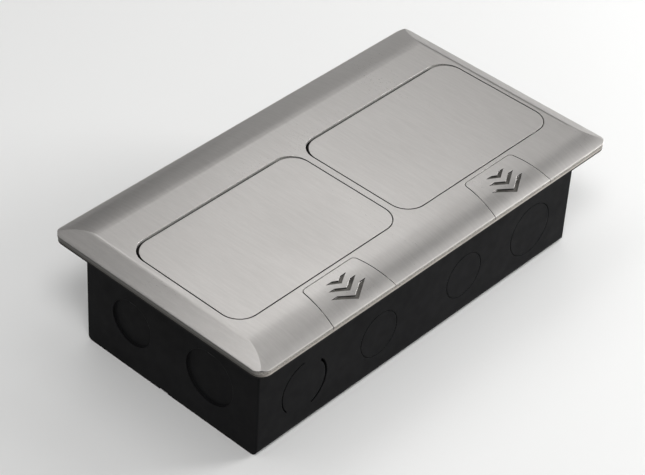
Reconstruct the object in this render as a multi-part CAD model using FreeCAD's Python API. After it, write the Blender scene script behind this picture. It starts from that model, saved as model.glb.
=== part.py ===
"""Floor socket box: two sprung socket cradles in a brushed cover plate over a steel back box.

Millimetres, +Z up. The origin is the middle of the back box's underside, +X runs along the
box, and the slide buttons are at the front, on the -Y side. A cradle swings up with its lid
about a rod near the lid's back edge, once its button is pulled forward.
"""
import FreeCAD, Part
import math
import os

from FreeCAD import Vector

# ---------------------------------------------------------------- cover plate
plate_length = 240.0            # along X
plate_width = 132.0             # along Y
plate_corner_radius = 6.0
plate_edge_height = 1.7         # upright edge of the cover all round
plate_rise = 4.5                # from that edge up to the flat top
end_bevel = 9.2                 # width of the straight bevel at the two short ends
side_bevel = 19.5               # width of the rounded shoulder along the two long sides
edge_softening = 0.5            # small radius on the cover's ends, above the upright edge
crease_radius = 4.0             # radius where an end bevel meets the flat top
plate_skin = 2.5                # thickness of the cover's top over its hollow underside
cover_rim_x = 7.5               # solid rim round the hollow, at the ends
cover_rim_y = 9.0               # and along the long sides
hollow_radius = 3.0
cover_wall = 2.0                # walls round the openings, under the skin
cover_boss_radius = 3.5

# ---------------------------------------------------------------- back box
box_end_inset = 10.5            # how far the box stands in from the cover's ends
box_side_inset = 11.0           # and from its long sides
box_wall = 1.5
box_bend = 3.5                  # outside bend radius of the folded long bottom edges
box_corner = 0.8                # softening of the welded upright corners
floor_room = 10.0               # room for wiring under an open cradle
depth_step = 0.5                # the box's depth is rounded up to this step

large_knockout_radius = 14.75
small_knockout_radius = 12.5
side_knockout_height = 24.0     # centres on the long walls, above the box's underside
end_knockout_height = 28.0      # centres on the short walls
outer_knockout_inset = 30.0     # large ones of a long wall, in from the box's ends
inner_knockout_x = 30.0         # small ones of a long wall, from the middle
end_knockout_y = 25.0           # large in front, small at the back
knockout_groove = 0.45
knockout_groove_depth = 0.9
pressed_depth = 1.2             # how far the knock-outs of the ends are pressed in
pressed_tab_width = 4.4         # small tab that still holds one at its top
pressed_tab_height = 2.2
started_slits = ((94.0, 220.0, 0.7), (-69.0, 43.0, 1.3))  # start and end angles, width
drain_notch_start = 1.2         # small notches under the two ends, from the middle
drain_notch_width = 5.5
drain_notch_height = 0.8

base_hole_radius = 2.5
base_hole_inset_x = 18.0        # from the box's inner faces
base_hole_inset_y = 13.5
earth_inset = 9.5               # earth stud, from the box's inner back face
earth_radius = 2.0
earth_height = 14.0
earth_head_radius = 3.5
earth_head_height = 0.9
earth_nut_width = 7.0           # across flats
earth_nut_height = 3.2
earth_washer_radius = 4.5
earth_washer_thickness = 1.0

bracket_sheet = 1.5
bracket_drop = 0.3              # ears, below the base frame
bracket_front = 7.0             # past the panel screws, at the front and the back
bracket_back = 6.0
bush_radius = 3.3
bush_length = 5.0
bracket_leg_gap = 3.25          # between the ears' legs and the large knock-outs

# ---------------------------------------------------------------- base frame, gasket, screws
flange_thickness = 1.25         # lip of the base frame under the cover
flange_inset = 0.2              # how far the lip stands back from the cover's edge
frame_depth = 2.0               # part of the base frame that drops into the box
frame_gap = 0.5                 # between that part and the box's walls
frame_corner_radius = 2.0
gasket_thickness = 0.8
gasket_gap = 0.4                # between the gasket and the box's walls

cover_screw_inset_x = 26.0      # outer screws, from the cover's ends
cover_screw_radius = 1.5
cover_screw_length = 7.0
cover_screw_spare = 0.3         # depth of a tapped hole past the screw's tip
panel_screw_radius = 2.0
panel_screw_length = 9.5
panel_screw_front = 7.2         # behind the front ledge
panel_screw_back = 15.0         # ahead of the hinge line

lug_thickness = 2.5             # ears of the base frame that hold the hinge rods
lug_radius = 2.7
lug_length = 8.0                # foot of a lug, ahead of the hinge line
anchor_bottom = 16.3            # spring anchors, below the flange
anchor_thickness = 1.6
anchor_before = 3.0             # an anchor's ends, past the ends of the spring
anchor_after = 1.85
spring_tab_inset = 9.0          # return-spring tabs, from the cover's front edge
spring_tab_offset = 13.5        # from the middle of a button
spring_tab_width = 2.8
spring_tab_thickness = 1.0
spring_tab_height = 2.3         # above the frame

# ---------------------------------------------------------------- lids
end_margin = 12.0               # cover past a lid opening, at the ends
front_margin = 25.2             # cover ahead of the lid openings, where the buttons are
lid_web = 3.6                   # strip of cover between the two lid openings
lid_width = 68.6                # along Y
lid_thickness = 2.0
lid_corner_radius = 10.2
lid_gap = 0.6                   # at the front and the sides of a lid
lid_back_gap = 1.8              # at the hinge side
back_relief = 1.0               # clearance behind the back gap, under the cover's skin
ledge_width = 1.6               # ledge under the lid's front and sides
ledge_drop = 0.3                # clearance between lid and ledge
ledge_reach = 3.0               # how far ahead of the hinge the side ledges stop
lid_screw_inset_x = (12.0, 20.0)   # front and back pair, in from the cheeks
lid_screw_front = 10.4          # behind the top of the socket face
lid_screw_back = 11.0           # ahead of the hinge line
lid_screw_radius = 1.25
lid_screw_grip = 1.2            # how far a screw reaches into the lid

# ---------------------------------------------------------------- hinges and cradles
open_angle = 60.0               # how far a cradle swings up
hinge_back = 11.4               # hinge line, ahead of the back edge of the lid
hinge_drop = 5.0                # hinge line, below the top of the lid
hinge_rod_radius = 1.5
rod_running_gap = 0.05
rod_press_gap = 0.02
cheek_inset = 10.5              # cheeks, in from the lid's sides
cheek_thickness = 2.5
cradle_top = 2.0                # plate that the lid is screwed to
cradle_top_end = 4.0            # that plate's back edge, ahead of the hinge line
cradle_gap = 0.6                # between the swept cradle and the ledge
cradle_clearance = 0.8          # between the cheeks and the base frame
cheek_nose = (2.0, -1.5)        # back corner of a cheek, from the hinge line
cheek_crown = 0.6               # top of a cheek over the hinge, below the lid
face_tilt = 25.0                # socket face leans back under the lid
face_set_back = 0.2             # top of the face, behind the cradle's sweep
face_end_inset = 0.7            # bottom of the face, inside that sweep
face_top_drop = 6.5             # top of the face, below the top of the lid
face_thickness = 2.5
face_top_rail = 5.6
face_bottom_rail = 2.8
skirt_thickness = 2.0
skirt_start = 1.0               # degrees by which the skirt overlaps the face
cheek_start = 1.5               # degrees below the hinge line where the cheeks' sweep starts
stop_reach = 2.2                # stop lugs, beyond the cheeks
stop_thickness = 2.2
stop_gap = 0.3

torsion_wire = 0.4
torsion_gap = 0.3               # between the coil and the rod
torsion_pitch = 0.95
torsion_turns = 7
torsion_side_gap = 2.85         # between the coil and the cheek
torsion_lift = 12.0             # lifting leg's end, ahead of the hinge line
torsion_lean = 0.3              # how far the legs start from under the rod
torsion_leg_end = 2.5           # anchored leg's end, above the anchor's bottom
leg_thinning = 0.97             # legs are a hair thinner than the coil they join

# ---------------------------------------------------------------- outlet modules
module_border = 4.0             # socket face beside the pair of modules, over a cheek
insert_gap = 0.1
insert_side_gap = 0.05
insert_shoulder = 1.2           # shoulder behind the face rails
insert_shoulder_depth = 2.4
top_shoulder_inset = 7.0
body_side_inset = 2.0           # module body behind the shoulders, narrower than the face
body_height_loss = 9.2
body_drop = 1.5                 # and a little lower
insert_depth = 24.0
terminal_cover_thickness = 1.5
terminal_cover_drop = 2.1
cable_notch = (11.0, 6.0)       # half width and height of the cable notches in that cover
blade_width = 1.9
blade_depth = 15.0
flat_pair = (6.35, 6.8, 6.9)    # offset, height, and distance below the module's top
angled_pair = (6.9, 7.0, -2.6)  # offset, height, and place from the middle
angled_turn = 30.0
earth_blade = (8.0, 6.5)        # height, and distance above the module's bottom
terminal_size = 6.0
terminal_depth = 7.0
terminal_inset = 6.5            # outer terminals, from the body's sides
terminal_drop = 2.0
wire_entry_radius = 1.3
wire_entry_height = 4.6
terminal_screw_radius = 1.2
terminal_screw_length = 2.2
port_wall = 1.0                 # between a jack's pocket and the body's side
port_web = 2.4                  # between the two pockets
port_border = 1.5               # window, smaller than its pocket on each side
port_height = 7.6
port_drop = 1.5
port_depth = 12.0
port_notch = (3.1, 1.9)         # half width and height of the latch notch over a window
jack_pocket = (-9.0, 6.0)
jack_gap = 0.2
jack_slot = (5.2, -4.0, 1.0, 5.0)   # half width, bottom, top and depth of the wiring slot

# ---------------------------------------------------------------- slide buttons and latches
button_bridge = 2.5             # strip of cover between a lid opening and its button
button_back_width = 33.4
button_front_width = 40.2
button_corner_radius = 2.2
button_gap = 0.45
button_lift = 0.1               # running clearance under the button
button_travel = 4.5
chevron_half_widths = (6.4, 8.75, 11.1)
chevron_start = 4.7             # tips of the innermost chevron, ahead of the button's back
chevron_pitch = 3.85
chevron_band = 3.7
chevron_slope = 0.57
chevron_depth = 0.7
stem_width = 10.0
stem_thickness = 3.6
stem_inset = 0.7                # stem, ahead of the button's back edge
spring_groove_start = 5.8       # return-spring grooves, ahead of the button's back edge
spring_groove_width = 3.6
spring_groove_height = 2.7
return_wire = 0.2
return_radius = 1.0
return_turns = 8
return_seat_gap = 0.05
latch_thickness = 0.8
latch_foot_width = 16.0
latch_foot_back = 1.0           # foot, behind the stem
latch_nose_width = 8.0
latch_nose_bevel = 0.6
latch_bite = 2.0                # how far the nose reaches past the socket face
latch_gap = 0.3
latch_pocket = (0.6, 1.4, 6.0)  # side and upper clearance of the nose's slot, and its depth
latch_screw_radius = 1.25
latch_screw_length = 3.2

small_gap = 0.1                 # between pieces that locate in each other
tapped_gap = 0.05               # between a screw and the hole that it is screwed into
running_gap = 0.4               # between a cheek and its hinge lug
past = 1.0                      # how far a cutter runs past what it cuts

# ---------------------------------------------------------------- places that follow, along Y
half_length = plate_length / 2
half_width = plate_width / 2
opening_front = front_margin - half_width
lid_front = opening_front + lid_gap
lid_back = lid_front + lid_width
opening_back = lid_back + lid_back_gap
y_hinge = lid_back - hinge_back
y_ledge = opening_front + ledge_width
y_relief = opening_back + back_relief
y_frame_back = y_relief + 0.2   # back edge of the base frame's openings
cradle_radius = y_hinge - y_ledge - cradle_gap
button_back = opening_front - button_bridge
stem_back = button_back - stem_inset
stem_front = stem_back - stem_thickness
stem_middle = (stem_back + stem_front) / 2
spring_tab_back = spring_tab_inset - half_width
groove_end = button_back - spring_groove_start

# ---------------------------------------------------------------- places that follow, along X
box_length = plate_length - 2 * box_end_inset
box_width = plate_width - 2 * box_side_inset
box_inner_x = box_length / 2 - box_wall
box_inner_y = box_width / 2 - box_wall
opening_half = (half_length - end_margin - lid_web / 2) / 2
lid_half = opening_half - lid_gap
lid_offset = opening_half + lid_web / 2
opening_radius = lid_corner_radius + lid_gap
cheek_half = lid_half - cheek_inset
cheek_inner = cheek_half - cheek_thickness
strip_edge = cheek_half + cradle_clearance
lug_start = cheek_half + running_gap
lug_end = lug_start + lug_thickness
panel_screw_offset = (strip_edge + opening_half - ledge_width) / 2
torsion_length = torsion_pitch * torsion_turns
torsion_start = cheek_inner - torsion_side_gap - torsion_length
insert_width = cheek_half - module_border
body_half_width = insert_width / 2 - body_side_inset
terminal_offsets = (terminal_inset - body_half_width, 0.0, body_half_width - terminal_inset)
pocket_width = body_half_width - port_wall - port_web / 2
port_offset = (pocket_width + port_web) / 2

# ---------------------------------------------------------------- levels
stop_radius = cradle_radius + stop_reach
hinge_over_floor = gasket_thickness + flange_thickness + plate_edge_height + plate_rise - hinge_drop
stop_drop = hinge_over_floor - gasket_thickness + frame_depth + stop_gap
stop_start = 180 + open_angle + math.degrees(math.asin(stop_drop / stop_radius))
stop_end = stop_start + math.degrees(stop_thickness / cradle_radius)
cradle_depth = cradle_radius * math.sin(math.radians(stop_end - 180)) - hinge_over_floor
box_depth = math.ceil((box_wall + floor_room + cradle_depth) / depth_step) * depth_step

z_flange = box_depth + gasket_thickness
z_plate = z_flange + flange_thickness
z_edge = z_plate + plate_edge_height
z_top = z_edge + plate_rise
z_frame_under = z_flange - frame_depth
z_skin = z_top - plate_skin
z_lid_under = z_top - lid_thickness
z_ledge = z_lid_under - ledge_drop
z_hinge = z_top - hinge_drop
z_bracket = z_frame_under - bracket_drop
z_anchor = z_flange - anchor_bottom
latch_top = z_frame_under - latch_gap
latch_bottom = latch_top - latch_thickness

# ---------------------------------------------------------------- the tilted socket face
tilt = math.radians(face_tilt)
face_top_y = y_hinge - cradle_radius + face_set_back
face_top_z = z_top - face_top_drop
face_top_from_hinge = Vector(0, face_top_y - y_hinge, face_top_z - z_hinge)
face_down = Vector(0, math.sin(tilt), -math.cos(tilt))
face_lead = -face_top_from_hinge.dot(face_down)
face_end_radius = cradle_radius - face_end_inset
face_length = face_lead + math.sqrt(face_lead ** 2 + face_end_radius ** 2
                                    - face_top_from_hinge.Length ** 2)
face_mid = Vector(0, face_top_y, face_top_z) + face_down * (face_length / 2)
face_turn = FreeCAD.Rotation(Vector(1, 0, 0), 90 + face_tilt)
insert_height = face_length - face_top_rail - face_bottom_rail - 2 * insert_gap
aperture_top = face_length / 2 - face_top_rail
aperture_bottom = face_bottom_rail - face_length / 2
insert_middle = (aperture_top + aperture_bottom) / 2
body_height = insert_height - body_height_loss

# ---------------------------------------------------------------- screw places
cover_screw_places = [(x, y) for y in ((y_frame_back + box_inner_y) / 2,
                                       (opening_front - box_inner_y) / 2)
                      for x in (cover_screw_inset_x - half_length, 0,
                                half_length - cover_screw_inset_x)]
panel_screw_y = (y_ledge + panel_screw_front, y_hinge - panel_screw_back)
panel_screw_places = [(side * (lid_offset + panel_screw_offset), y)
                      for side in (-1, 1) for y in panel_screw_y]
base_hole_places = [(side * (box_inner_x - base_hole_inset_x), end * (box_inner_y - base_hole_inset_y))
                    for side in (-1, 1) for end in (-1, 1)]
lid_screw_places = [(side * (cheek_half - inset), y)
                    for inset, y in zip(lid_screw_inset_x, (face_top_y + lid_screw_front,
                                                            y_hinge - lid_screw_back))
                    for side in (-1, 1)]
earth_y = box_inner_y - earth_inset


# ---------------------------------------------------------------- small modelling helpers
def block(x0, x1, y0, y1, z0, z1):
    """A box between two corners."""
    return Part.makeBox(x1 - x0, y1 - y0, z1 - z0, Vector(x0, y0, z0))


def rod(x, y, z, radius, length, axis=Vector(0, 0, 1)):
    """A cylinder that starts at a point and runs along an axis."""
    return Part.makeCylinder(radius, length, Vector(x, y, z), axis)


def outline(points):
    """A closed flat wire through (u, v, corner radius) points."""
    corners = [Vector(u, v, 0) for u, v, _ in points]
    count = len(points)
    starts, ends, middles = [], [], []
    for i, (_, _, radius) in enumerate(points):
        here, before, after = corners[i], corners[i - 1], corners[(i + 1) % count]
        to_before = (before - here).normalize()
        to_after = (after - here).normalize()
        half_angle = to_before.getAngle(to_after) / 2
        setback = radius / math.tan(half_angle)
        starts.append(here + to_before * setback)
        ends.append(here + to_after * setback)
        inward = (to_before + to_after).normalize()
        middles.append(here + inward * (radius / math.sin(half_angle) - radius))
    edges = []
    for i in range(count):
        if points[i][2] > 0:
            edges.append(Part.Arc(starts[i], middles[i], ends[i]).toShape())
        edges.append(Part.LineSegment(ends[i], starts[(i + 1) % count]).toShape())
    return Part.Wire(edges)


def prism(wire_or_points, normal, low, high):
    """A flat outline pushed along X, Y or Z from low to high.

    The outline's two coordinates are (Y, Z) for X, (X, Z) for Y and (X, Y) for Z.
    """
    is_wire = isinstance(wire_or_points, Part.Wire)
    wire = wire_or_points if is_wire else outline(wire_or_points)
    solid = Part.Face(wire).extrude(Vector(0, 0, high - low))
    if normal == "X":
        turn = FreeCAD.Rotation(Vector(0, 1, 0), Vector(0, 0, 1), Vector(1, 0, 0), "ZXY")
        solid.Placement = FreeCAD.Placement(Vector(low, 0, 0), turn)
    elif normal == "Y":
        turn = FreeCAD.Rotation(Vector(1, 0, 0), 90)
        solid.Placement = FreeCAD.Placement(Vector(0, high, 0), turn)
    else:
        solid.translate(Vector(0, 0, low))
    return solid


def rectangle(x0, x1, y0, y1, radius):
    """Points of a rounded rectangle for outline()."""
    return [(x0, y0, radius), (x1, y0, radius), (x1, y1, radius), (x0, y1, radius)]


def centred(half_x, half_y, radius):
    return rectangle(-half_x, half_x, -half_y, half_y, radius)


def sector(centre, inner, outer, start, end):
    """A flat ring sector about a centre, between two angles in degrees, as a wire."""
    def arc(radius, first, last):
        ends = []
        for angle in (first, (first + last) / 2, last):
            turn = math.radians(angle)
            ends.append(Vector(centre[0] + radius * math.cos(turn),
                               centre[1] + radius * math.sin(turn), 0))
        return Part.Arc(*ends).toShape(), ends[0], ends[2]
    outer_arc, outer_start, outer_end = arc(outer, start, end)
    inner_arc, inner_start, inner_end = arc(inner, end, start)
    return Part.Wire([outer_arc, Part.LineSegment(outer_end, inner_start).toShape(), inner_arc,
                      Part.LineSegment(inner_end, outer_start).toShape()])


def joined(solids):
    """One solid from several that touch or overlap."""
    return solids[0].fuse(solids[1:]).removeSplitter()


def helix_spring(mean_radius, wire_radius, pitch, length):
    """A coil along +Z from the origin."""
    path = Part.Wire(Part.makeHelix(pitch, length, mean_radius).Edges)
    section = Part.Circle(Vector(mean_radius, 0, 0), Vector(0, 1, 0), wire_radius)
    return path.makePipeShell([Part.Wire([section.toShape()])], True, True)


def turned(solid, axis, degrees):
    copy = solid.copy()
    copy.rotate(Vector(0, 0, 0), axis, degrees)
    return copy


def moved(solid, x, y, z):
    copy = solid.copy()
    copy.translate(Vector(x, y, z))
    return copy


def group(solids):
    """Separate solids that share a node."""
    return Part.makeCompound(solids)


def screw(x, y, z_seat, direction, radius, length, head_radius, head_height):
    """A pan-head screw whose head sits on z_seat and whose shank runs up (1) or down (-1)."""
    shank_low = z_seat if direction > 0 else z_seat - length
    head_low = z_seat - head_height if direction > 0 else z_seat
    recess_low = head_low if direction > 0 else head_low + head_height / 2
    shank = rod(x, y, shank_low, radius, length)
    head = rod(x, y, head_low, head_radius, head_height)
    recess = rod(x, y, recess_low, head_radius * 0.45, head_height / 2)
    return joined([shank, head]).cut(recess)


def hexagon_nut(x, y, z, across_flats, height, bore):
    corner = across_flats / math.sqrt(3)
    points = [(x + corner * math.cos(math.radians(60 * i)),
               y + corner * math.sin(math.radians(60 * i)), 0) for i in range(6)]
    return prism(points, "Z", z, z + height).cut(rod(x, y, z - past, bore, height + 2 * past))


# ---------------------------------------------------------------- cover plate
def plate_form(drop=0.0):
    """The cover's outer form, or the same form let down by a drop."""
    shoulder_radius = (side_bevel ** 2 + plate_rise ** 2) / (2 * plate_rise)
    swing = math.asin(side_bevel / shoulder_radius) / 2
    flat = half_width - side_bevel
    mid_y = flat + shoulder_radius * math.sin(swing)
    mid_z = z_top - shoulder_radius * (1 - math.cos(swing))
    low = z_plate - drop
    corners = [Vector(-half_width, low, 0), Vector(-half_width, z_edge, 0), Vector(-flat, z_top, 0),
               Vector(flat, z_top, 0), Vector(half_width, z_edge, 0), Vector(half_width, low, 0)]
    edges = [
        Part.LineSegment(corners[0], corners[1]),
        Part.Arc(corners[1], Vector(-mid_y, mid_z, 0), corners[2]),
        Part.LineSegment(corners[2], corners[3]),
        Part.Arc(corners[3], Vector(mid_y, mid_z, 0), corners[4]),
        Part.LineSegment(corners[4], corners[5]),
        Part.LineSegment(corners[5], corners[0]),
    ]
    along = prism(Part.Wire([edge.toShape() for edge in edges]), "X", -half_length, half_length)
    crease = half_length - end_bevel
    across = prism([(-half_length, low, 0), (-half_length, z_edge, edge_softening),
                    (-crease, z_top, crease_radius), (crease, z_top, crease_radius),
                    (half_length, z_edge, edge_softening), (half_length, low, 0)],
                   "Y", -half_width, half_width)
    plan = prism(centred(half_length, half_width, plate_corner_radius), "Z", low, z_top)
    return moved(along.common(across).common(plan), 0, 0, -drop)


def button_outline(x, grow, back_grow, front):
    """Plan of a slide button, grown by a clearance and run out to a front edge."""
    spread = (button_front_width - button_back_width) / 2 / (half_width + button_back)
    back = button_back + back_grow
    half_back = button_back_width / 2 + grow - back_grow * spread
    half_front = half_back + (back - front) * spread
    radius = button_corner_radius + grow
    return [(x - half_front, front, 0), (x + half_front, front, 0),
            (x + half_back, back, radius), (x - half_back, back, radius)]


def lid_opening(x):
    return prism(rectangle(x - opening_half, x + opening_half, opening_front, opening_back,
                           opening_radius), "Z", z_ledge, z_top + past)


def ledge_opening(x):
    """Opening below the ledges: narrow ahead of the hinge, wide where the lid turns down."""
    narrow = opening_half - ledge_width
    low = z_plate - past
    front = prism([(x - narrow, y_ledge, opening_radius - ledge_width),
                   (x + narrow, y_ledge, opening_radius - ledge_width),
                   (x + narrow, y_hinge, 0), (x - narrow, y_hinge, 0)], "Z", low, z_ledge)
    back = block(x - opening_half, x + opening_half, y_hinge - ledge_reach, y_relief, low, z_ledge)
    return front.fuse(back)


def make_cover_frame():
    form = plate_form()
    low = z_plate - past
    front_end = -half_width - past
    hollow = prism(centred(half_length - cover_rim_x, half_width - cover_rim_y, hollow_radius),
                   "Z", low, z_skin)
    for x in (-lid_offset, lid_offset):
        walls = rectangle(x - opening_half - cover_wall, x + opening_half + cover_wall,
                          opening_front - cover_wall, y_relief + cover_wall, cover_wall)
        hollow = hollow.cut(prism(walls, "Z", low, z_skin))
        hollow = hollow.cut(prism(button_outline(x, cover_wall, cover_wall, front_end), "Z",
                                  low, z_skin))
    for x, y in cover_screw_places:
        hollow = hollow.cut(rod(x, y, low, cover_boss_radius, z_top - low))
    form = form.cut(hollow)
    for x in (-lid_offset, lid_offset):
        form = form.cut(lid_opening(x)).cut(ledge_opening(x))
        form = form.cut(prism(button_outline(x, button_gap, button_gap, front_end), "Z",
                              low, z_top + past))
    hole_top = z_frame_under + cover_screw_length + cover_screw_spare
    for x, y in cover_screw_places:
        form = form.cut(rod(x, y, low, cover_screw_radius + small_gap, hole_top - low))
    return form


# ---------------------------------------------------------------- base frame and gasket
def make_base_frame():
    flange = prism(centred(half_length - flange_inset, half_width - flange_inset,
                           plate_corner_radius - flange_inset), "Z", z_flange, z_plate)
    drop_in = prism(centred(box_inner_x - frame_gap, box_inner_y - frame_gap,
                            frame_corner_radius), "Z", z_frame_under, z_flange)
    frame = joined([flange, drop_in])
    low, high = z_frame_under - past, z_plate + past
    stem_half = stem_width / 2 + running_gap
    for x in (-lid_offset, lid_offset):
        frame = frame.cut(block(x - strip_edge, x + strip_edge, y_ledge, y_frame_back, low, high))
        frame = frame.cut(block(x - opening_half, x + opening_half, y_hinge + 2, y_frame_back,
                                low, high))
        frame = frame.cut(block(x - stem_half, x + stem_half, stem_front - button_travel - 0.5,
                                stem_back + running_gap, low, high))
    for places, radius in ((cover_screw_places, cover_screw_radius),
                           (panel_screw_places, panel_screw_radius)):
        for x, y in places:
            frame = frame.cut(rod(x, y, low, radius + small_gap, high - low))
    pieces = [frame]
    for x in (-lid_offset, lid_offset):
        for side in (-1, 1):
            pieces += frame_fittings(x, side)
    frame = joined(pieces)
    for x in (-lid_offset, lid_offset):
        frame = frame.cut(rod(x - lug_end - past, y_hinge, z_hinge,
                              hinge_rod_radius + rod_press_gap, 2 * (lug_end + past),
                              Vector(1, 0, 0)))
    return frame


def frame_fittings(x, side):
    """Hinge lug, torsion-spring anchor and return-spring tab at one side of a cradle."""
    lug_low, lug_high = sorted((x + side * lug_start, x + side * lug_end))
    post = block(lug_low, lug_high, y_hinge - lug_length, y_hinge, z_frame_under,
                 z_hinge + hinge_rod_radius)
    eye = rod(lug_low, y_hinge, z_hinge, lug_radius, lug_thickness, Vector(1, 0, 0))
    anchor_low, anchor_high = sorted((x + side * (torsion_start - anchor_before),
                                      x + side * (torsion_start + torsion_length + anchor_after)))
    anchor = block(anchor_low, anchor_high, y_frame_back, y_frame_back + anchor_thickness,
                   z_anchor, z_flange)
    tab_x = x + side * spring_tab_offset
    tab = block(tab_x - spring_tab_width / 2, tab_x + spring_tab_width / 2,
                spring_tab_back - spring_tab_thickness, spring_tab_back,
                z_flange, z_plate + spring_tab_height)
    return [joined([post, eye]), anchor, tab]


def make_floor_gasket():
    outer = prism(centred(half_length - flange_inset, half_width - flange_inset,
                          plate_corner_radius - flange_inset), "Z", box_depth, z_flange)
    inner = prism(centred(box_length / 2 + gasket_gap, box_width / 2 + gasket_gap,
                          box_corner + gasket_gap), "Z", box_depth - past, z_flange + past)
    return outer.cut(inner)


# ---------------------------------------------------------------- back box
def grooved_knockout(box, x, side, radius):
    """A ring groove in a long wall round a knock-out."""
    face = Vector(x, side * (box_width / 2 + past), side_knockout_height)
    inward = Vector(0, -side, 0)
    depth = knockout_groove_depth + past
    groove = Part.makeCylinder(radius, depth, face, inward).cut(
        Part.makeCylinder(radius - knockout_groove, depth, face, inward))
    return box.cut(groove)


def started_knockout(box, x, radius):
    """A knock-out of the front wall that has been started: two slits right through."""
    for start, end, width in started_slits:
        slit = sector((x, side_knockout_height), radius - width, radius, start, end)
        box = box.cut(prism(slit, "Y", -box_width / 2 - past, -box_inner_y + past))
    return box


def pressed_knockout(box, side, y, radius):
    """A knock-out of an end wall, pressed in and held by a small tab at its top."""
    outer_face = side * box_length / 2
    pressed_face = side * (box_length / 2 - pressed_depth - small_gap)
    face = Vector(outer_face, y, end_knockout_height)
    inward = Vector(-side, 0, 0)
    recess = Part.makeCylinder(radius, pressed_depth + past, face - inward * past, inward)
    plug = Part.makeCylinder(radius - small_gap, pressed_depth, face + inward * box_wall, inward)
    top = end_knockout_height + radius + 0.3
    tab = prism([(outer_face, top, 0), (pressed_face, top, 0),
                 (pressed_face, top - pressed_tab_height - 0.3, 0)],
                "Y", y - pressed_tab_width / 2, y + pressed_tab_width / 2)
    return box.cut(recess).fuse([plug, tab])


def make_back_box():
    half_x, half_y = box_length / 2, box_width / 2
    outer = prism([(-half_y, 0, box_bend), (half_y, 0, box_bend),
                   (half_y, box_depth, 0), (-half_y, box_depth, 0)], "X", -half_x, half_x)
    outer = outer.common(prism(centred(half_x, half_y, box_corner), "Z", 0, box_depth))
    inner = prism([(-box_inner_y, box_wall, box_bend - box_wall),
                   (box_inner_y, box_wall, box_bend - box_wall),
                   (box_inner_y, box_depth + past, 0), (-box_inner_y, box_depth + past, 0)],
                  "X", -box_inner_x, box_inner_x)
    box = outer.cut(inner)
    large_x = half_x - outer_knockout_inset
    box = started_knockout(box, -large_x, large_knockout_radius)
    box = grooved_knockout(box, large_x, -1, large_knockout_radius)
    for x in (-large_x, large_x):
        box = grooved_knockout(box, x, 1, large_knockout_radius)
    for side in (-1, 1):
        for x in (-inner_knockout_x, inner_knockout_x):
            box = grooved_knockout(box, x, side, small_knockout_radius)
        box = pressed_knockout(box, side, end_knockout_y, small_knockout_radius)
        box = pressed_knockout(box, side, -end_knockout_y, large_knockout_radius)
        notch = block(side * half_x - 2, side * half_x + 2, drain_notch_start,
                      drain_notch_start + drain_notch_width, -past, drain_notch_height)
        box = box.cut(notch)
    for x, y in base_hole_places:
        box = box.cut(rod(x, y, -past, base_hole_radius, box_wall + 2 * past))
    box = box.cut(rod(0, earth_y, -past, earth_head_radius + small_gap, 2 * past))
    box = box.cut(rod(0, earth_y, -past, earth_radius + small_gap, box_wall + 2 * past))
    return box.removeSplitter()


def make_box_brackets():
    """Two welded ears inside the box's ends, with tapped bushes for the panel screws."""
    ear_reach = box_inner_x - lid_offset - panel_screw_offset + bush_radius + small_gap
    leg_bottom = end_knockout_height + large_knockout_radius + bracket_leg_gap
    front, back = panel_screw_y[0] - bracket_front, panel_screw_y[1] + bracket_back
    ears = []
    for side in (-1, 1):
        wall_x = side * box_inner_x
        ear_low, ear_high = sorted((wall_x, side * (box_inner_x - ear_reach)))
        leg_low, leg_high = sorted((wall_x, side * (box_inner_x - bracket_sheet)))
        places = [place for place in panel_screw_places if place[0] * side > 0]
        pieces = [block(ear_low, ear_high, front, back, z_bracket - bracket_sheet, z_bracket),
                  block(leg_low, leg_high, front, back, leg_bottom, z_bracket)]
        pieces += [rod(x, y, z_bracket - bush_length, bush_radius, bush_length) for x, y in places]
        ear = joined(pieces)
        for x, y in places:
            ear = ear.cut(rod(x, y, z_bracket - bush_length - past,
                              panel_screw_radius + tapped_gap, bush_length + 2 * past))
        ears.append(ear)
    return group(ears)


def make_earth_stud():
    shank = rod(0, earth_y, small_gap, earth_radius, earth_height)
    head = rod(0, earth_y, small_gap, earth_head_radius, earth_head_height)
    return joined([shank, head])


def make_earth_nuts():
    """A nut against the box's floor, a washer on it, and a second nut over the washer."""
    bore = earth_radius + tapped_gap
    washer_z = box_wall + earth_nut_height + 0.2
    upper_z = washer_z + earth_washer_thickness + 0.2
    nuts = [hexagon_nut(0, earth_y, z, earth_nut_width, earth_nut_height, bore)
            for z in (box_wall, upper_z)]
    washer = rod(0, earth_y, washer_z, earth_washer_radius, earth_washer_thickness).cut(
        rod(0, earth_y, washer_z - past, bore, earth_washer_thickness + 2 * past))
    return group(nuts + [washer])


def make_screws(places, z_seat, direction, radius, length, head_radius, head_height):
    return group([screw(x, y, z_seat, direction, radius, length, head_radius, head_height)
                  for x, y in places])


# ---------------------------------------------------------------- lid and cradle
def on_face(solid, x):
    """Place a solid built on the socket face: X along, Y up the face, Z out of it."""
    placed = solid.copy()
    seat_place = FreeCAD.Placement(face_mid + Vector(x, 0, 0), face_turn)
    placed.Placement = seat_place * placed.Placement
    return placed


def about_hinge(radius, degrees):
    """A point about the hinge line, in the Y-Z plane."""
    angle = math.radians(degrees)
    return Vector(y_hinge + radius * math.cos(angle), z_hinge + radius * math.sin(angle), 0)


def make_lid(x):
    lid = prism(rectangle(x - lid_half, x + lid_half, lid_front, lid_back, lid_corner_radius),
                "Z", z_lid_under, z_top)
    for dx, dy in lid_screw_places:
        lid = lid.cut(rod(x + dx, dy, z_lid_under - past, lid_screw_radius + tapped_gap,
                          lid_screw_grip + 0.2 + past))
    return lid


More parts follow.
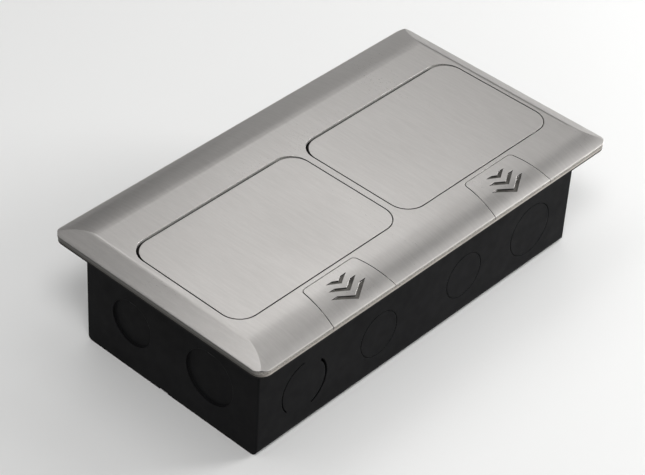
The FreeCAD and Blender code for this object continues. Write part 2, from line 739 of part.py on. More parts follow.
def cheek_wire():
    """Outline of a cheek in the Y-Z plane: swept front, straight back and top."""
    start = about_hinge(cradle_radius, 180 + cheek_start)
    middle = about_hinge(cradle_radius, (180 + cheek_start + stop_end) / 2)
    last = about_hinge(cradle_radius, stop_end)
    corners = [last, Vector(y_hinge + cheek_nose[0], z_hinge + cheek_nose[1], 0),
               Vector(y_hinge, z_lid_under - cheek_crown, 0),
               Vector(y_hinge - cradle_top_end, z_lid_under, 0),
               Vector(face_top_y, z_lid_under, 0), start]
    edges = [Part.Arc(start, middle, last).toShape()]
    edges += [Part.LineSegment(a, b).toShape() for a, b in zip(corners, corners[1:])]
    return Part.Wire(edges)


def make_cradle(x):
    hinge = (y_hinge, z_hinge)
    low, high = x - cheek_half, x + cheek_half
    pieces = []
    for side in (-1, 1):
        inner, outer = sorted((x + side * cheek_inner, x + side * cheek_half))
        pieces.append(prism(cheek_wire(), "X", inner, outer))
        pieces.append(rod(inner, y_hinge, z_hinge, lug_radius, cheek_thickness, Vector(1, 0, 0)))
        pieces.append(prism(sector(hinge, cradle_radius - skirt_thickness, stop_radius,
                                   stop_start, stop_end), "X", inner, outer))
    pieces.append(block(low, high, face_top_y, y_hinge - cradle_top_end,
                        z_lid_under - cradle_top, z_lid_under))
    pieces.append(block(low, high, face_top_y, face_top_y + face_thickness, face_top_z - 1.0,
                        z_lid_under))
    pieces.append(on_face(block(-cheek_half, cheek_half, -face_length / 2, face_length / 2,
                                -face_thickness, 0), x))
    face_end = face_top_from_hinge + face_down * face_length
    face_end_angle = 360 + math.degrees(math.atan2(face_end.z, face_end.y))
    pieces.append(prism(sector(hinge, cradle_radius - skirt_thickness, cradle_radius,
                               face_end_angle - skirt_start, stop_end), "X", low, high))
    cradle = joined(pieces)
    aperture = block(-insert_width - insert_gap, insert_width + insert_gap, aperture_bottom,
                     aperture_top, -face_thickness - past, past)
    side_room, upper_room, depth = latch_pocket
    nose_half = latch_nose_width / 2 + side_room
    pocket = block(x - nose_half, x + nose_half, face_top_y - past, face_top_y + depth,
                   latch_bottom - latch_gap, latch_top + upper_room)
    bore = rod(low - past, y_hinge, z_hinge, hinge_rod_radius + rod_running_gap,
               2 * (cheek_half + past), Vector(1, 0, 0))
    cradle = cradle.cut(on_face(aperture, x)).cut(pocket).cut(bore)
    for dx, dy in lid_screw_places:
        cradle = cradle.cut(rod(x + dx, dy, z_lid_under - cradle_top - past,
                                lid_screw_radius + 0.15, cradle_top + 2 * past))
    return cradle.removeSplitter()


def make_hinge_rod(x):
    return rod(x - lug_end, y_hinge, z_hinge, hinge_rod_radius, 2 * lug_end, Vector(1, 0, 0))


def make_torsion_springs(x):
    """Two coils on the rod; one leg of each lifts the cradle's top, the other is anchored."""
    mean_radius = hinge_rod_radius + torsion_gap + torsion_wire
    leg_gap = torsion_wire + small_gap
    leg_ends = ((torsion_start, y_hinge - torsion_lift, z_lid_under - cradle_top - leg_gap,
                 -torsion_lean),
                (torsion_start + torsion_length, y_frame_back - leg_gap,
                 z_anchor + torsion_leg_end, torsion_lean))
    springs = []
    for side in (-1, 1):
        coil = helix_spring(mean_radius, torsion_wire, torsion_pitch, torsion_length)
        coil = turned(coil, Vector(0, 1, 0), 90)
        coil = turned(coil, Vector(1, 0, 0), 180)
        if side < 0:
            coil = coil.mirror(Vector(0, 0, 0), Vector(1, 0, 0))
        pieces = [moved(coil, x + side * torsion_start, y_hinge, z_hinge)]
        for along, end_y, end_z, lean in leg_ends:
            start = Vector(x + side * along, y_hinge + lean, z_hinge - mean_radius)
            leg = Vector(x + side * along, end_y, end_z) - start
            pieces.append(Part.makeCylinder(torsion_wire * leg_thinning, leg.Length, start, leg))
        springs.append(joined(pieces))
    return group(springs)


# ---------------------------------------------------------------- outlet modules
def insert_blank():
    """Module body: a face slab in the aperture, shoulders behind the rails, and a body."""
    half_width_here = insert_width / 2 - insert_side_gap
    half_height = insert_height / 2
    back = -face_thickness - insert_gap
    shoulder_back = back - insert_shoulder_depth
    face = block(-half_width_here, half_width_here, -half_height, half_height, back, 0)
    shoulder = block(-half_width_here, half_width_here, -half_height - insert_shoulder,
                     half_height, shoulder_back, back)
    top_half = half_width_here - top_shoulder_inset
    top_shoulder = block(-top_half, top_half, half_height, half_height + insert_shoulder,
                         shoulder_back, back)
    body = block(-body_half_width, body_half_width, -body_height / 2 - body_drop,
                 body_height / 2 - body_drop, -insert_depth, shoulder_back)
    return joined([face, shoulder, top_shoulder, body])


def blade_slot(u, v, height, angle):
    slot = block(-blade_width / 2, blade_width / 2, -height / 2, height / 2, -blade_depth, past)
    return moved(turned(slot, Vector(0, 0, 1), angle), u, v, 0)


def make_power_outlet():
    """Five-hole outlet: two flat blades above, a three-blade group below."""
    flat_u, flat_height, flat_drop = flat_pair
    angled_u, angled_height, angled_v = angled_pair
    earth_height_here, earth_lift = earth_blade
    insert = insert_blank()
    for side in (-1, 1):
        insert = insert.cut(blade_slot(side * flat_u, insert_height / 2 - flat_drop,
                                       flat_height, 0))
        insert = insert.cut(blade_slot(side * angled_u, angled_v, angled_height,
                                       side * angled_turn))
    insert = insert.cut(blade_slot(0, earth_lift - insert_height / 2, earth_height_here, 0))
    half = terminal_size / 2 + small_gap
    for u in terminal_offsets:
        insert = insert.cut(block(u - half, u + half, -terminal_drop - half,
                                  -terminal_drop + half, -insert_depth - past,
                                  -insert_depth + terminal_depth))
    return insert


def make_terminals():
    """Three brass terminal blocks in the back of an outlet."""
    half = terminal_size / 2
    blocks = []
    for u in terminal_offsets:
        brass = block(u - half, u + half, -terminal_drop - half, -terminal_drop + half,
                      -insert_depth + 0.2, -insert_depth + terminal_depth - small_gap)
        entry = rod(u, -terminal_drop - half - past, -insert_depth + wire_entry_height,
                    wire_entry_radius, terminal_size + 2 * past, Vector(0, 1, 0))
        thread = rod(u, -terminal_drop, -insert_depth - past, terminal_screw_radius + tapped_gap,
                     wire_entry_height - wire_entry_radius + past)
        blocks.append(brass.cut(entry).cut(thread))
    return blocks


def make_terminal_screws():
    screws = []
    for u in terminal_offsets:
        shank = rod(u, -terminal_drop, -insert_depth + small_gap, terminal_screw_radius,
                    terminal_screw_length)
        slot = block(u - 1.5, u + 1.5, -terminal_drop - 0.2, -terminal_drop + 0.2,
                     -insert_depth, -insert_depth + 0.7)
        screws.append(shank.cut(slot))
    return screws


def make_data_outlet():
    """Twin data outlet: two port windows over a pocket for the jacks."""
    insert = insert_blank()
    port_half = pocket_width / 2 - port_border
    notch_half, notch_height = port_notch
    for u in (-port_offset, port_offset):
        top = port_height / 2 - port_drop
        window = block(u - port_half, u + port_half, top - port_height, top, -port_depth, past)
        notch = block(u - notch_half, u + notch_half, top - small_gap, top + notch_height - small_gap,
                      -port_depth, past)
        pocket = block(u - pocket_width / 2, u + pocket_width / 2, jack_pocket[0], jack_pocket[1],
                       -insert_depth - past, -port_depth + small_gap)
        insert = insert.cut(window).cut(notch).cut(pocket)
    return insert


def make_data_jacks():
    half = pocket_width / 2 - jack_gap
    slot_half, slot_low, slot_high, slot_depth = jack_slot
    jacks = []
    for u in (-port_offset, port_offset):
        jack = block(u - half, u + half, jack_pocket[0] + jack_gap, jack_pocket[1] - jack_gap,
                     -insert_depth + jack_gap, -port_depth)
        slot = block(u - slot_half, u + slot_half, slot_low, slot_high, -insert_depth - past,
                     -insert_depth + slot_depth)
        jacks.append(jack.cut(slot))
    return jacks


def make_terminal_cover(x):
    front = -insert_depth - small_gap
    back = front - terminal_cover_thickness
    half = cheek_inner - small_gap
    low = insert_middle - body_height / 2 - terminal_cover_drop
    high = insert_middle + body_height / 2 - terminal_cover_drop
    notch_half, notch_height = cable_notch
    plate = block(-half, half, low, high, back, front)
    for u in (-insert_width / 2, insert_width / 2):
        plate = plate.cut(block(u - notch_half, u + notch_half, low - past, low + notch_height,
                                back - past, front + past))
    return on_face(plate, x)


# ---------------------------------------------------------------- slide buttons and latches
def chevron(x, tip, half):
    """One chevron in plan: the band's arms rise from the middle point to both ends."""
    inner = half - chevron_band
    return [(x - half, tip, 0), (x, tip - half * chevron_slope, 0), (x + half, tip, 0),
            (x + inner, tip, 0), (x, tip - inner * chevron_slope, 0), (x - inner, tip, 0)]


def make_button(x):
    body = prism(button_outline(x, 0, 0, -half_width - past), "Z", z_plate + button_lift, z_top)
    body = body.common(plate_form())
    lowered = plate_form(chevron_depth)
    for step, half in enumerate(chevron_half_widths):
        tip = button_back - chevron_start - chevron_pitch * step
        body = body.cut(prism(chevron(x, tip, half), "Z", z_plate + past, z_top + past)
                        .cut(lowered))
    for side in (-1, 1):
        groove_x = x + side * spring_tab_offset
        body = body.cut(block(groove_x - spring_groove_width / 2,
                              groove_x + spring_groove_width / 2,
                              spring_tab_back - spring_tab_thickness - stop_gap, groove_end,
                              z_plate - past, z_plate + spring_groove_height))
    stem = block(x - stem_width / 2, x + stem_width / 2, stem_front, stem_back,
                 latch_top, z_plate + past)
    return joined([body, stem]).cut(rod(x, stem_middle, latch_top - past,
                                        latch_screw_radius + tapped_gap, 3 + past))


def make_latch(x):
    """Spring-steel strip under the button's stem, with a bevelled nose."""
    nose_tip = face_top_y + (face_top_z - latch_bottom) * math.tan(tilt) + latch_bite
    foot = block(x - latch_foot_width / 2, x + latch_foot_width / 2, stem_front,
                 stem_back + latch_foot_back, latch_bottom, latch_top)
    tongue = prism([(stem_back, latch_bottom, 0), (nose_tip, latch_bottom, 0),
                    (nose_tip - latch_nose_bevel, latch_top, 0), (stem_back, latch_top, 0)],
                   "X", x - latch_nose_width / 2, x + latch_nose_width / 2)
    hole = rod(x, stem_middle, latch_bottom - past, latch_screw_radius + small_gap,
               latch_thickness + 2 * past)
    return joined([foot, tongue]).cut(hole)


def make_button_springs(x):
    """Two small coils between the frame's tabs and the back ends of the button's grooves."""
    start = spring_tab_back + return_seat_gap + return_wire
    length = groove_end - return_seat_gap - return_wire - start
    springs = []
    for side in (-1, 1):
        coil = helix_spring(return_radius, return_wire, length / return_turns, length)
        coil = turned(coil, Vector(1, 0, 0), -90)
        springs.append(moved(coil, x + side * spring_tab_offset, start,
                             z_plate + button_lift + return_radius + return_wire))
    return group(springs)


# ---------------------------------------------------------------- the whole object
def seated(solids, x):
    """Module pieces in the aperture of a socket face, centred at a place along X."""
    return [on_face(moved(solid, 0, insert_middle, 0), x) for solid in solids]


nodes = {
    "back_box": make_back_box(),
    "box_brackets": make_box_brackets(),
    "earth_stud": make_earth_stud(),
    "earth_nuts": make_earth_nuts(),
    "floor_gasket": make_floor_gasket(),
    "base_frame": make_base_frame(),
    "cover_frame": make_cover_frame(),
    "panel_screws": make_screws(panel_screw_places, z_plate, -1, panel_screw_radius,
                                panel_screw_length, 3.5, 2.4),
    "cover_screws": make_screws(cover_screw_places, z_frame_under, 1, cover_screw_radius,
                                cover_screw_length, 2.75, 1.8),
}
for side_name, lid_x in (("left", -lid_offset), ("right", lid_offset)):
    lid_screws = [(lid_x + dx, dy) for dx, dy in lid_screw_places]
    nodes[side_name + "_hinge_rod"] = make_hinge_rod(lid_x)
    nodes[side_name + "_torsion_springs"] = make_torsion_springs(lid_x)
    nodes[side_name + "_lid"] = make_lid(lid_x)
    nodes[side_name + "_cradle"] = make_cradle(lid_x)
    nodes[side_name + "_lid_screws"] = make_screws(lid_screws, z_lid_under - cradle_top, 1,
                                                   lid_screw_radius,
                                                   cradle_top + lid_screw_grip, 2.3, 1.5)
    nodes[side_name + "_terminal_cover"] = make_terminal_cover(lid_x)
    nodes[side_name + "_button"] = make_button(lid_x)
    nodes[side_name + "_latch"] = make_latch(lid_x)
    nodes[side_name + "_latch_screw"] = screw(lid_x, stem_middle, latch_bottom, 1,
                                              latch_screw_radius, latch_screw_length, 2.2, 1.3)
    nodes[side_name + "_button_springs"] = make_button_springs(lid_x)

power_outlets = {"left_outlet_1": -lid_offset - insert_width / 2,
                 "left_outlet_2": -lid_offset + insert_width / 2,
                 "right_outlet": lid_offset - insert_width / 2}
data_x = lid_offset + insert_width / 2
for name, module_x in power_outlets.items():
    nodes[name] = seated([make_power_outlet()], module_x)[0]
nodes["right_data_outlet"] = seated([make_data_outlet()], data_x)[0]
nodes["right_data_jacks"] = group(seated(make_data_jacks(), data_x))
for side_name in ("left", "right"):
    places = [x for name, x in power_outlets.items() if name.startswith(side_name)]
    nodes[side_name + "_terminals"] = group(
        [solid for x in places for solid in seated(make_terminals(), x)])
    nodes[side_name + "_terminal_screws"] = group(
        [solid for x in places for solid in seated(make_terminal_screws(), x)])

os.makedirs("parts", exist_ok=True)
for name, shape in nodes.items():
    shape.exportStep("parts/" + name + ".step")
    print(f"{name:24s} solids {len(shape.Solids):2d} valid {shape.isValid()}")
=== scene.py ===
import math

import bpy
from mathutils import Matrix, Vector


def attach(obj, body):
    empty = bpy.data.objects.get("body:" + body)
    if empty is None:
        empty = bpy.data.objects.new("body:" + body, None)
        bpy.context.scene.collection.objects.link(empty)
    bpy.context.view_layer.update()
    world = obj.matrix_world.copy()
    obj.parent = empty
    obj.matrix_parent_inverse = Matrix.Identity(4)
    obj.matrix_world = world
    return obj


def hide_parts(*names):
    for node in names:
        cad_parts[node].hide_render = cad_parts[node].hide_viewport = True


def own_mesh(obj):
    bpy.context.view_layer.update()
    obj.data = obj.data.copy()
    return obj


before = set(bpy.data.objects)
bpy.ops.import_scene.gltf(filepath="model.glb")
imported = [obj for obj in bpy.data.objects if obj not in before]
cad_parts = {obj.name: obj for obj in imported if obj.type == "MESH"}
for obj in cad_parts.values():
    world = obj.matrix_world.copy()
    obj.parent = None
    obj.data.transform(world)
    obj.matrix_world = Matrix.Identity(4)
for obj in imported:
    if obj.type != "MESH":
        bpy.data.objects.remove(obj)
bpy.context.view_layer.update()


# ---------------------------------------------------------------- studio
# A plain pale paper floor, a dim and even white dome, and twelve soft boxes. Nine hang over the
# floor box and three stand low on its right, where its rounded edges mirror them.
mm = 0.001


def linear(hex_code):
    """An sRGB hex colour as linear red, green, blue and alpha."""
    parts = [int(hex_code[i:i + 2], 16) / 255 for i in (1, 3, 5)]
    return [c / 12.92 if c <= 0.04045 else ((c + 0.055) / 1.055) ** 2.4 for c in parts] + [1]


def add(tree, kind, links=(), **settings):
    """Adds a node. links holds its socket values, or the sockets that feed them."""
    node = tree.nodes.new("ShaderNode" + kind)
    for key, value in settings.items():
        setattr(node, key, value)
    for key, value in dict(links).items():
        if isinstance(value, bpy.types.NodeSocket):
            tree.links.new(value, node.inputs[key])
        else:
            node.inputs[key].default_value = value
    return node


def new_finish(name, colour, metallic, roughness, **numbers):
    """A material with the standard shader and its plain numbers on the shader's own sockets."""
    material = bpy.data.materials.new(name)
    material.use_nodes = True
    material.diffuse_color = linear(colour)
    tree = material.node_tree
    shader = tree.nodes["Principled BSDF"]
    shader.inputs["Base Color"].default_value = linear(colour)
    shader.inputs["Metallic"].default_value = metallic
    shader.inputs["Roughness"].default_value = roughness
    for socket, value in numbers.items():
        shader.inputs[socket.replace("_", " ")].default_value = value
    return material, tree, shader


# A Mix node has several sockets of each name, so those that mix colours go by their place.
share_in, first_in, second_in, colour_out = 0, 6, 7, 2

# Matt paper, with the faint broad clouds of a roll that has been handled.
paper, tree, shader = new_finish("floor_paper", "#f4f4f3", 0.0, 0.75)
clouds = add(tree, "TexNoise", {
    "Vector": add(tree, "TexCoord").outputs["Object"], "Scale": 2.5, "Detail": 3.0}).outputs[0]
paper_tint = add(tree, "Mix", {
    share_in: clouds, first_in: linear("#f1f1f0"), second_in: linear("#f7f7f6")},
    data_type="RGBA").outputs[colour_out]
tree.links.new(paper_tint, shader.inputs["Base Color"])
bpy.ops.object.select_all(action="DESELECT")
bpy.ops.mesh.primitive_plane_add(size=8)
floor = bpy.context.active_object
floor.name = "studio_floor"
floor.data.materials.append(paper)

world = bpy.data.worlds.new("studio_dome")
bpy.context.scene.world = world
world.use_nodes = True
dome = world.node_tree.nodes["Background"]
dome.inputs["Color"].default_value = linear("#ffffff")
dome.inputs["Strength"].default_value = 0.213

# Each soft box has its place and its size in metres and its power in watts. All of them face the
# middle of the cover. The strongest two are the one above the camera and the low one at the
# front right.
cover_middle = Vector((0, 0, 0.06))
for name, place, size, watts in (
        ("over_front_left", (-0.5, -0.45, 1.15), 0.38, 5.72),
        ("over_back_left", (-0.5, 0.35, 1.15), 0.38, 0.88),
        ("over_back", (-0.15, 0.35, 1.15), 0.38, 0.75),
        ("over_middle", (0.2, -0.05, 1.15), 0.38, 0.65),
        ("over_far_back", (0.2, 0.75, 1.15), 0.38, 0.49),
        ("over_back_right", (0.55, 0.75, 1.15), 0.38, 0.29),
        ("far_right_front", (0.9, -0.45, 1.15), 0.38, 0.64),
        ("far_right", (0.9, 0.35, 1.15), 0.38, 0.37),
        ("far_right_back", (0.9, 0.75, 1.15), 0.38, 0.62),
        ("low_right", (1.116, 0.0, 0.328), 0.5, 2.63),
        ("low_back_right", (0.789, 0.789, 0.328), 0.5, 0.19),
        ("low_front_right", (0.966, -0.558, 0.328), 0.5, 10.9)):
    lamp = bpy.data.lights.new("soft_box_" + name, "AREA")
    lamp.shape, lamp.size, lamp.energy = "SQUARE", size, watts
    soft_box = bpy.data.objects.new(lamp.name, lamp)
    soft_box.location = place
    facing = soft_box.location - cover_middle
    soft_box.rotation_euler = facing.to_track_quat("Z", "Y").to_euler()
    bpy.context.scene.collection.objects.link(soft_box)

# The camera stands at the front left and looks down on the cover, turned a little on its axis.
camera = bpy.data.objects.new("camera", bpy.data.cameras.new("camera"))
camera.data.lens, camera.data.sensor_width = 127.29, 36
azimuth, elevation, roll = (math.radians(a) for a in (-49.163, 39.433, 3.578))
look = (Matrix.Rotation(azimuth, 3, "Z") @ Matrix.Rotation(math.pi / 2 - elevation, 3, "X")
        @ Matrix.Rotation(roll, 3, "Z"))
aim = Vector((-53.889, -37.965, 84.805)) * mm
distance = 1000 * mm
camera.location = aim + look @ Vector((0, 0, distance))
camera.rotation_euler = look.to_euler()
bpy.context.scene.collection.objects.link(camera)
bpy.context.scene.camera = camera
bpy.context.scene.view_settings.view_transform = "Standard"


# ---------------------------------------------------------------- back box
# Folded from 1.5 mm steel sheet, welded at its upright corners, with two ears welded inside for
# the frame's screws. It is powder-coated black inside and out.
def grain_on(tree):
    """Gives a function for noise on that tree, its grain so many mm long along each axis."""
    place = add(tree, "TexCoord").outputs["Object"]

    def grain(x, y, z, detail=2.0, roughness=0.5):
        stretched = add(tree, "Mapping", {
            "Vector": place, "Scale": [1 / (size * mm) for size in (x, y, z)]})
        return add(tree, "TexNoise", {
            "Vector": stretched.outputs[0], "Scale": 1.0, "Detail": detail,
            "Roughness": roughness}).outputs[0]
    return grain


grain_low, grain_high = 0.3, 0.7    # most of a grain's values lie between these two


def mottle(tree, value, dark, pale, start=grain_low, end=grain_high):
    """Colours a grain from dark to pale over its middle range."""
    share = add(tree, "MapRange", {
        "Value": value, "From Min": start, "From Max": end}).outputs[0]
    return add(tree, "Mix", {share_in: share, first_in: linear(dark), second_in: linear(pale)},
               data_type="RGBA").outputs[colour_out]


def roughen(tree, shader, value, low, high):
    """Moves the roughness from low to high over a grain's middle range."""
    level = add(tree, "MapRange", {
        "Value": value, "From Min": grain_low, "From Max": grain_high,
        "To Min": low, "To Max": high}).outputs[0]
    tree.links.new(level, shader.inputs["Roughness"])


def skin(tree, shader, height, depth, edge):
    """Rounds the edges by that radius in mm and lays a relief of that depth in mm on them."""
    rounded = add(tree, "Bevel", {"Radius": edge * mm}, samples=4).outputs[0]
    relief = add(tree, "Bump", {"Height": height, "Distance": depth * mm,
                                "Strength": 1.0, "Normal": rounded})
    tree.links.new(relief.outputs[0], shader.inputs["Normal"])
    return rounded


def worn_edge(tree, rounded, reach):
    """0 on flat skin, up to 1 where the edge bends the normal away from its face."""
    true_normal = add(tree, "NewGeometry").outputs["True Normal"]
    agreement = add(tree, "VectorMath", {0: true_normal, 1: rounded}, operation="DOT_PRODUCT")
    return add(tree, "MapRange", {
        "Value": agreement.outputs["Value"], "From Min": 1.0, "From Max": 1 - reach}).outputs[0]


def cover_with(material, *names):
    """Puts a material on CAD nodes by name."""
    for name in names:
        data = bpy.data.objects[name].data
        data.materials.clear()
        data.materials.append(material)


# Powder coat: matt black polyester of low gloss, with the IOR of a resin. It has a fine
# orange-peel skin, and it is a little paler where the folds rub in the carton.
powder_coat, tree, shader = new_finish("black_powder_coat", "#101011", 0.0, 0.5, IOR=1.5,
                                       Specular_IOR_Level=0.03)
grain = grain_on(tree)
orange_peel = grain(0.9, 0.9, 0.9)
rounded = skin(tree, shader, orange_peel, depth=0.03, edge=0.5)
coat_tone = mottle(tree, grain(45, 45, 30, 3.0), "#141415", "#1b1b1c")
coat_tone = add(tree, "Mix", {
    share_in: worn_edge(tree, rounded, 0.25), first_in: coat_tone,
    second_in: linear("#262627")}, data_type="RGBA").outputs[colour_out]
tree.links.new(coat_tone, shader.inputs["Base Color"])
roughen(tree, shader, grain(6, 6, 6, 3.0), 0.42, 0.56)
cover_with(powder_coat, "back_box", "box_brackets")


# ---------------------------------------------------------------- earth stud and nuts
# A 4 mm brass stud turned from bar, fixed in the floor of the box, with its nuts and washer.
# Turned brass keeps fine rings and goes a little dull and brown in patches.
def metal(name, dark, pale, roughness, grain_size, depth, edge):
    """A bare metal: two cloudy tones, a grain that also moves the roughness, softened edges."""
    material, tree, shader = new_finish(name, pale, 1.0, roughness)
    grain = grain_on(tree)
    marks = grain(*grain_size)
    skin(tree, shader, marks, depth, edge)
    clouds = mottle(tree, grain(7, 7, 7, 3.0), dark, pale)
    deepest = 0.35              # share of the dark tone in the deepest marks
    dark_marks = add(tree, "MapRange", {
        "Value": marks, "From Min": grain_low, "From Max": grain_high,
        "To Max": deepest}).outputs[0]
    tone = add(tree, "Mix", {
        share_in: dark_marks, first_in: clouds, second_in: linear(dark)},
        data_type="RGBA").outputs[colour_out]
    tree.links.new(tone, shader.inputs["Base Color"])
    roughen(tree, shader, marks, roughness - 0.06, roughness + 0.08)
    return material


turned_brass = metal("turned_brass", "#9c7c40", "#c2a056", roughness=0.28,
                     grain_size=(2, 2, 0.12), depth=0.01, edge=0.1)
cover_with(turned_brass, "earth_stud", "earth_nuts")


# ---------------------------------------------------------------- floor gasket
# A closed-cell foam ring cut from 0.8 mm sheet, glued under the flange to seal it to the floor.
# Dull black, with small open cells on its cut edge.
foam, tree, shader = new_finish("black_foam_rubber", "#0e0e0e", 0.0, 0.9, IOR=1.5,
                                Specular_IOR_Level=0.3)
cell_size = 0.5
cells = add(tree, "TexVoronoi", {
    "Vector": add(tree, "TexCoord").outputs["Object"],
    "Scale": 1 / (cell_size * mm)}).outputs["Distance"]
skin(tree, shader, cells, depth=0.12, edge=0.15)
foam_tone = add(tree, "Mix", {
    share_in: cells, first_in: linear("#080808"), second_in: linear("#1a1a1a")},
    data_type="RGBA").outputs[colour_out]
tree.links.new(foam_tone, shader.inputs["Base Color"])
cover_with(foam, "floor_gasket")


# ---------------------------------------------------------------- base frame
# One zinc die-casting that carries the hinges, the buttons and the cover. Its flange shows as a
# thin lip under the cover. It is left as cast: grey and finely pitted.
cast_zinc = metal("cast_zinc", "#a59f99", "#c4bdb6", roughness=0.46,
                  grain_size=(0.5, 0.5, 0.5), depth=0.04, edge=0.25)

# The lip keeps its pale cast grey along its long sides. Where it faces the ends it is painted
# darker: painted shade on the end faces.
tree = cast_zinc.node_tree
shader = tree.nodes["Principled BSDF"]
facing = add(tree, "SeparateXYZ", {0: add(tree, "TexCoord").outputs["Normal"]}).outputs["X"]
painted_shade_on_ends = add(tree, "Math", {0: facing}, operation="ABSOLUTE").outputs[0]
zinc_tone_and_painted_shade = add(tree, "Mix", {
    share_in: painted_shade_on_ends, first_in: shader.inputs["Base Color"].links[0].from_socket,
    second_in: linear("#55524f")}, data_type="RGBA").outputs[colour_out]
tree.links.new(zinc_tone_and_painted_shade, shader.inputs["Base Color"])
cover_with(cast_zinc, "base_frame")


# ---------------------------------------------------------------- cover plate
# A hollow metal plate with bevelled ends and rounded shoulders, held to the frame by six screws
# from below. It is nickel-plated and brushed along its short side with a fine abrasive belt.
def brushed_nickel(name, dark, pale, roughness, wall_dark, wall_pale):
    """Nickel plate brushed along Y, with painted light and shade on its walls. The wall tones are
    painted on the walls close to the top that face along Y.
    """
    material, tree, shader = new_finish(name, pale, 1.0, roughness, Anisotropic=0.3)
    across_lines = add(tree, "CombineXYZ", {"X": 1.0}).outputs[0]
    tree.links.new(across_lines, shader.inputs["Tangent"])

    # The brush lines are finer than 0.1 mm: they are drawn 0.28 mm wide so that they show.
    grain = grain_on(tree)
    fine = grain(0.28, 2.6, 2.6, 3.0, 0.7)
    coarse = grain(1.1, 14, 14, 2.0)
    patches = grain(50, 50, 50, 2.0)
    pits = grain(0.7, 0.7, 0.7, 3.0)
    skin(tree, shader, fine, depth=0.0012, edge=0.25)
    lines = add(tree, "Math", {0: fine, 1: coarse}, operation="MULTIPLY").outputs[0]
    tone = mottle(tree, lines, dark, pale, start=0.12, end=0.38)

    # Painted highlight: a pale line along the two long edges of the plate, standing in for the
    # light caught by its rounded rim.
    place = add(tree, "TexCoord")
    at = add(tree, "SeparateXYZ", {0: place.outputs["Object"]}).outputs
    from_middle = add(tree, "Math", {0: at["Y"]}, operation="ABSOLUTE").outputs[0]
    painted_rim_highlight = add(tree, "MapRange", {
        "Value": from_middle, "From Min": 65.3 * mm, "From Max": 65.6 * mm}).outputs[0]
    tone = add(tree, "Mix", {
        share_in: painted_rim_highlight, first_in: tone, second_in: linear("#dedbd7")},
        data_type="RGBA").outputs[colour_out]

    # Walls are sheared or cast and stay dull, dark and mottled. Painted light and shade: where it
    # faces along Y the plate's upright edge is painted paler than where it faces the ends, and
    # the last 1.5 mm under the top takes the wall tones where it faces along Y.
    facing = add(tree, "SeparateXYZ", {0: place.outputs["Normal"]}).outputs
    flatness = add(tree, "Math", {0: facing["Z"]}, operation="ABSOLUTE").outputs[0]
    on_wall = add(tree, "MapRange", {
        "Value": flatness, "From Min": 0.65, "From Max": 0.45}).outputs[0]
    painted_light_share = add(tree, "Math", {0: facing["Y"]}, operation="ABSOLUTE").outputs[0]
    above_edge = add(tree, "MapRange", {
        "Value": at["Z"], "From Min": 63.3 * mm, "From Max": 63.6 * mm}).outputs[0]
    near_top = add(tree, "MapRange", {
        "Value": at["Z"], "From Min": 66.0 * mm, "From Max": 66.25 * mm}).outputs[0]
    raw = mottle(tree, pits, "#2b2a29", "#4c4b48")
    painted_lit_edge = mottle(tree, pits, "#73706b", "#aba6a0")
    top_wall = mottle(tree, pits, wall_dark, wall_pale)
    painted_lit_wall = add(tree, "Mix", {share_in: above_edge, first_in: painted_lit_edge, second_in: raw},
                 data_type="RGBA").outputs[colour_out]
    painted_lit_wall = add(tree, "Mix", {share_in: near_top, first_in: painted_lit_wall, second_in: top_wall},
                 data_type="RGBA").outputs[colour_out]
    painted_shaded_wall = add(tree, "Mix", {
        share_in: above_edge, first_in: linear("#5b5a57"), second_in: raw},
        data_type="RGBA").outputs[colour_out]
    wall = add(tree, "Mix", {share_in: painted_light_share, first_in: painted_shaded_wall, second_in: painted_lit_wall},
               data_type="RGBA").outputs[colour_out]
    tone = add(tree, "Mix", {share_in: on_wall, first_in: tone, second_in: wall},
               data_type="RGBA").outputs[colour_out]
    tree.links.new(tone, shader.inputs["Base Color"])

    # The roughness changes from line to line and from patch to patch, and walls are rougher.
    wall_roughness, wall_metallic = 0.6, 0.25
    by_line = add(tree, "MapRange", {
        "Value": fine, "From Min": grain_low, "From Max": grain_high,
        "To Min": -0.04, "To Max": 0.04}).outputs[0]
    by_patch = add(tree, "MapRange", {
        "Value": patches, "From Min": grain_low, "From Max": grain_high,
        "To Min": roughness - 0.02, "To Max": roughness + 0.02}).outputs[0]
    brushed = add(tree, "Math", {0: by_line, 1: by_patch}, operation="ADD").outputs[0]
    level = add(tree, "Mix", {0: on_wall, 2: brushed, 3: wall_roughness},
                data_type="FLOAT").outputs[0]
    bare = add(tree, "MapRange", {
        "Value": on_wall, "To Min": 1.0, "To Max": wall_metallic}).outputs[0]
    tree.links.new(bare, shader.inputs["Metallic"])
    tree.links.new(level, shader.inputs["Roughness"])
    return material


# On the cover those walls close to the top are painted near white: painted light in the shaded
# gaps.
cover_metal = brushed_nickel("brushed_nickel_cover", "#c6c3c0", "#cecbc8", roughness=0.32,
                             wall_dark="#b9b6b2", wall_pale="#f2efea")
cover_with(cover_metal, "cover_frame")


# ---------------------------------------------------------------- screws
# Cold-headed steel machine screws hold the frame, the cover, the lids, the latches and the wires.
# Their zinc plating is bright, slightly blue and a little cloudy.
zinc_plate = metal("zinc_plate", "#a3a6aa", "#c6c9cc", roughness=0.24,
                   grain_size=(0.6, 0.6, 0.6), depth=0.01, edge=0.12)
cover_with(zinc_plate, "panel_screws", "cover_screws",
           *[side + part for side in ("left_", "right_")
             for part in ("lid_screws", "latch_screw", "terminal_screws")])


# ---------------------------------------------------------------- hinge rods and springs
# Each lid turns on a drawn 3 mm steel rod, held in the frame's lugs. The springs are wound cold
# from wire and the latch is a pressed strip. Drawing leaves fine lines along the rod.
drawn_steel = metal("drawn_steel", "#8f8f8f", "#bdbdbc", roughness=0.3,
                    grain_size=(9, 0.25, 0.25), depth=0.008, edge=0.1)

# Spring steel is darker, from its heat treatment, with small even marks.
spring_wire = metal("spring_steel", "#6c6d70", "#97989b", roughness=0.3,
                    grain_size=(1.2, 1.2, 1.2), depth=0.01, edge=0.05)
for side in ("left_", "right_"):
    cover_with(drawn_steel, side + "hinge_rod")
    cover_with(spring_wire, side + "torsion_springs", side + "button_springs", side + "latch")


